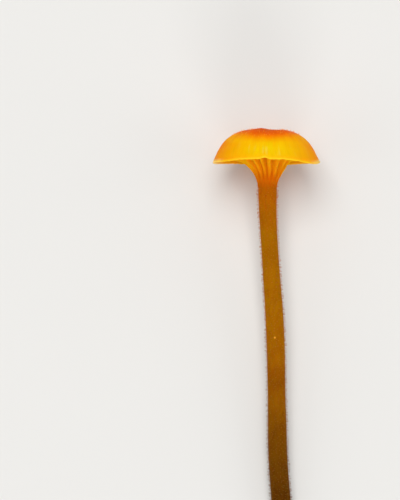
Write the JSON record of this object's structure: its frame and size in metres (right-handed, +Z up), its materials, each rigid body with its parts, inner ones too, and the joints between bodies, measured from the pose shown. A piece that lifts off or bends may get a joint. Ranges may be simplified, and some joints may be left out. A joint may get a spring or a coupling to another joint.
{
  "type": "moss navel mushroom",
  "caption": "Tiny orange mushroom with a domed, dimpled cap, pale margin and gills that run down onto a long thin stem, picked and lying on its side.",
  "frame": {"origin": "middle of the object's box, on the surface that the mushroom lies on", "axes": "+Z up from that surface, +Y along the stem towards the cap, +X to the right when looking from the foot to the cap"},
  "size_m": [0.011, 0.0418, 0.0108],
  "materials": {
    "mushroom_flesh": "moist satin flesh, slightly translucent, yellow-orange with a redder navel and a browner stem, under fine pale down"
  },
  "bodies": {
    "root": {"mushroom": "mushroom_flesh"}
  },
  "joints": []
}
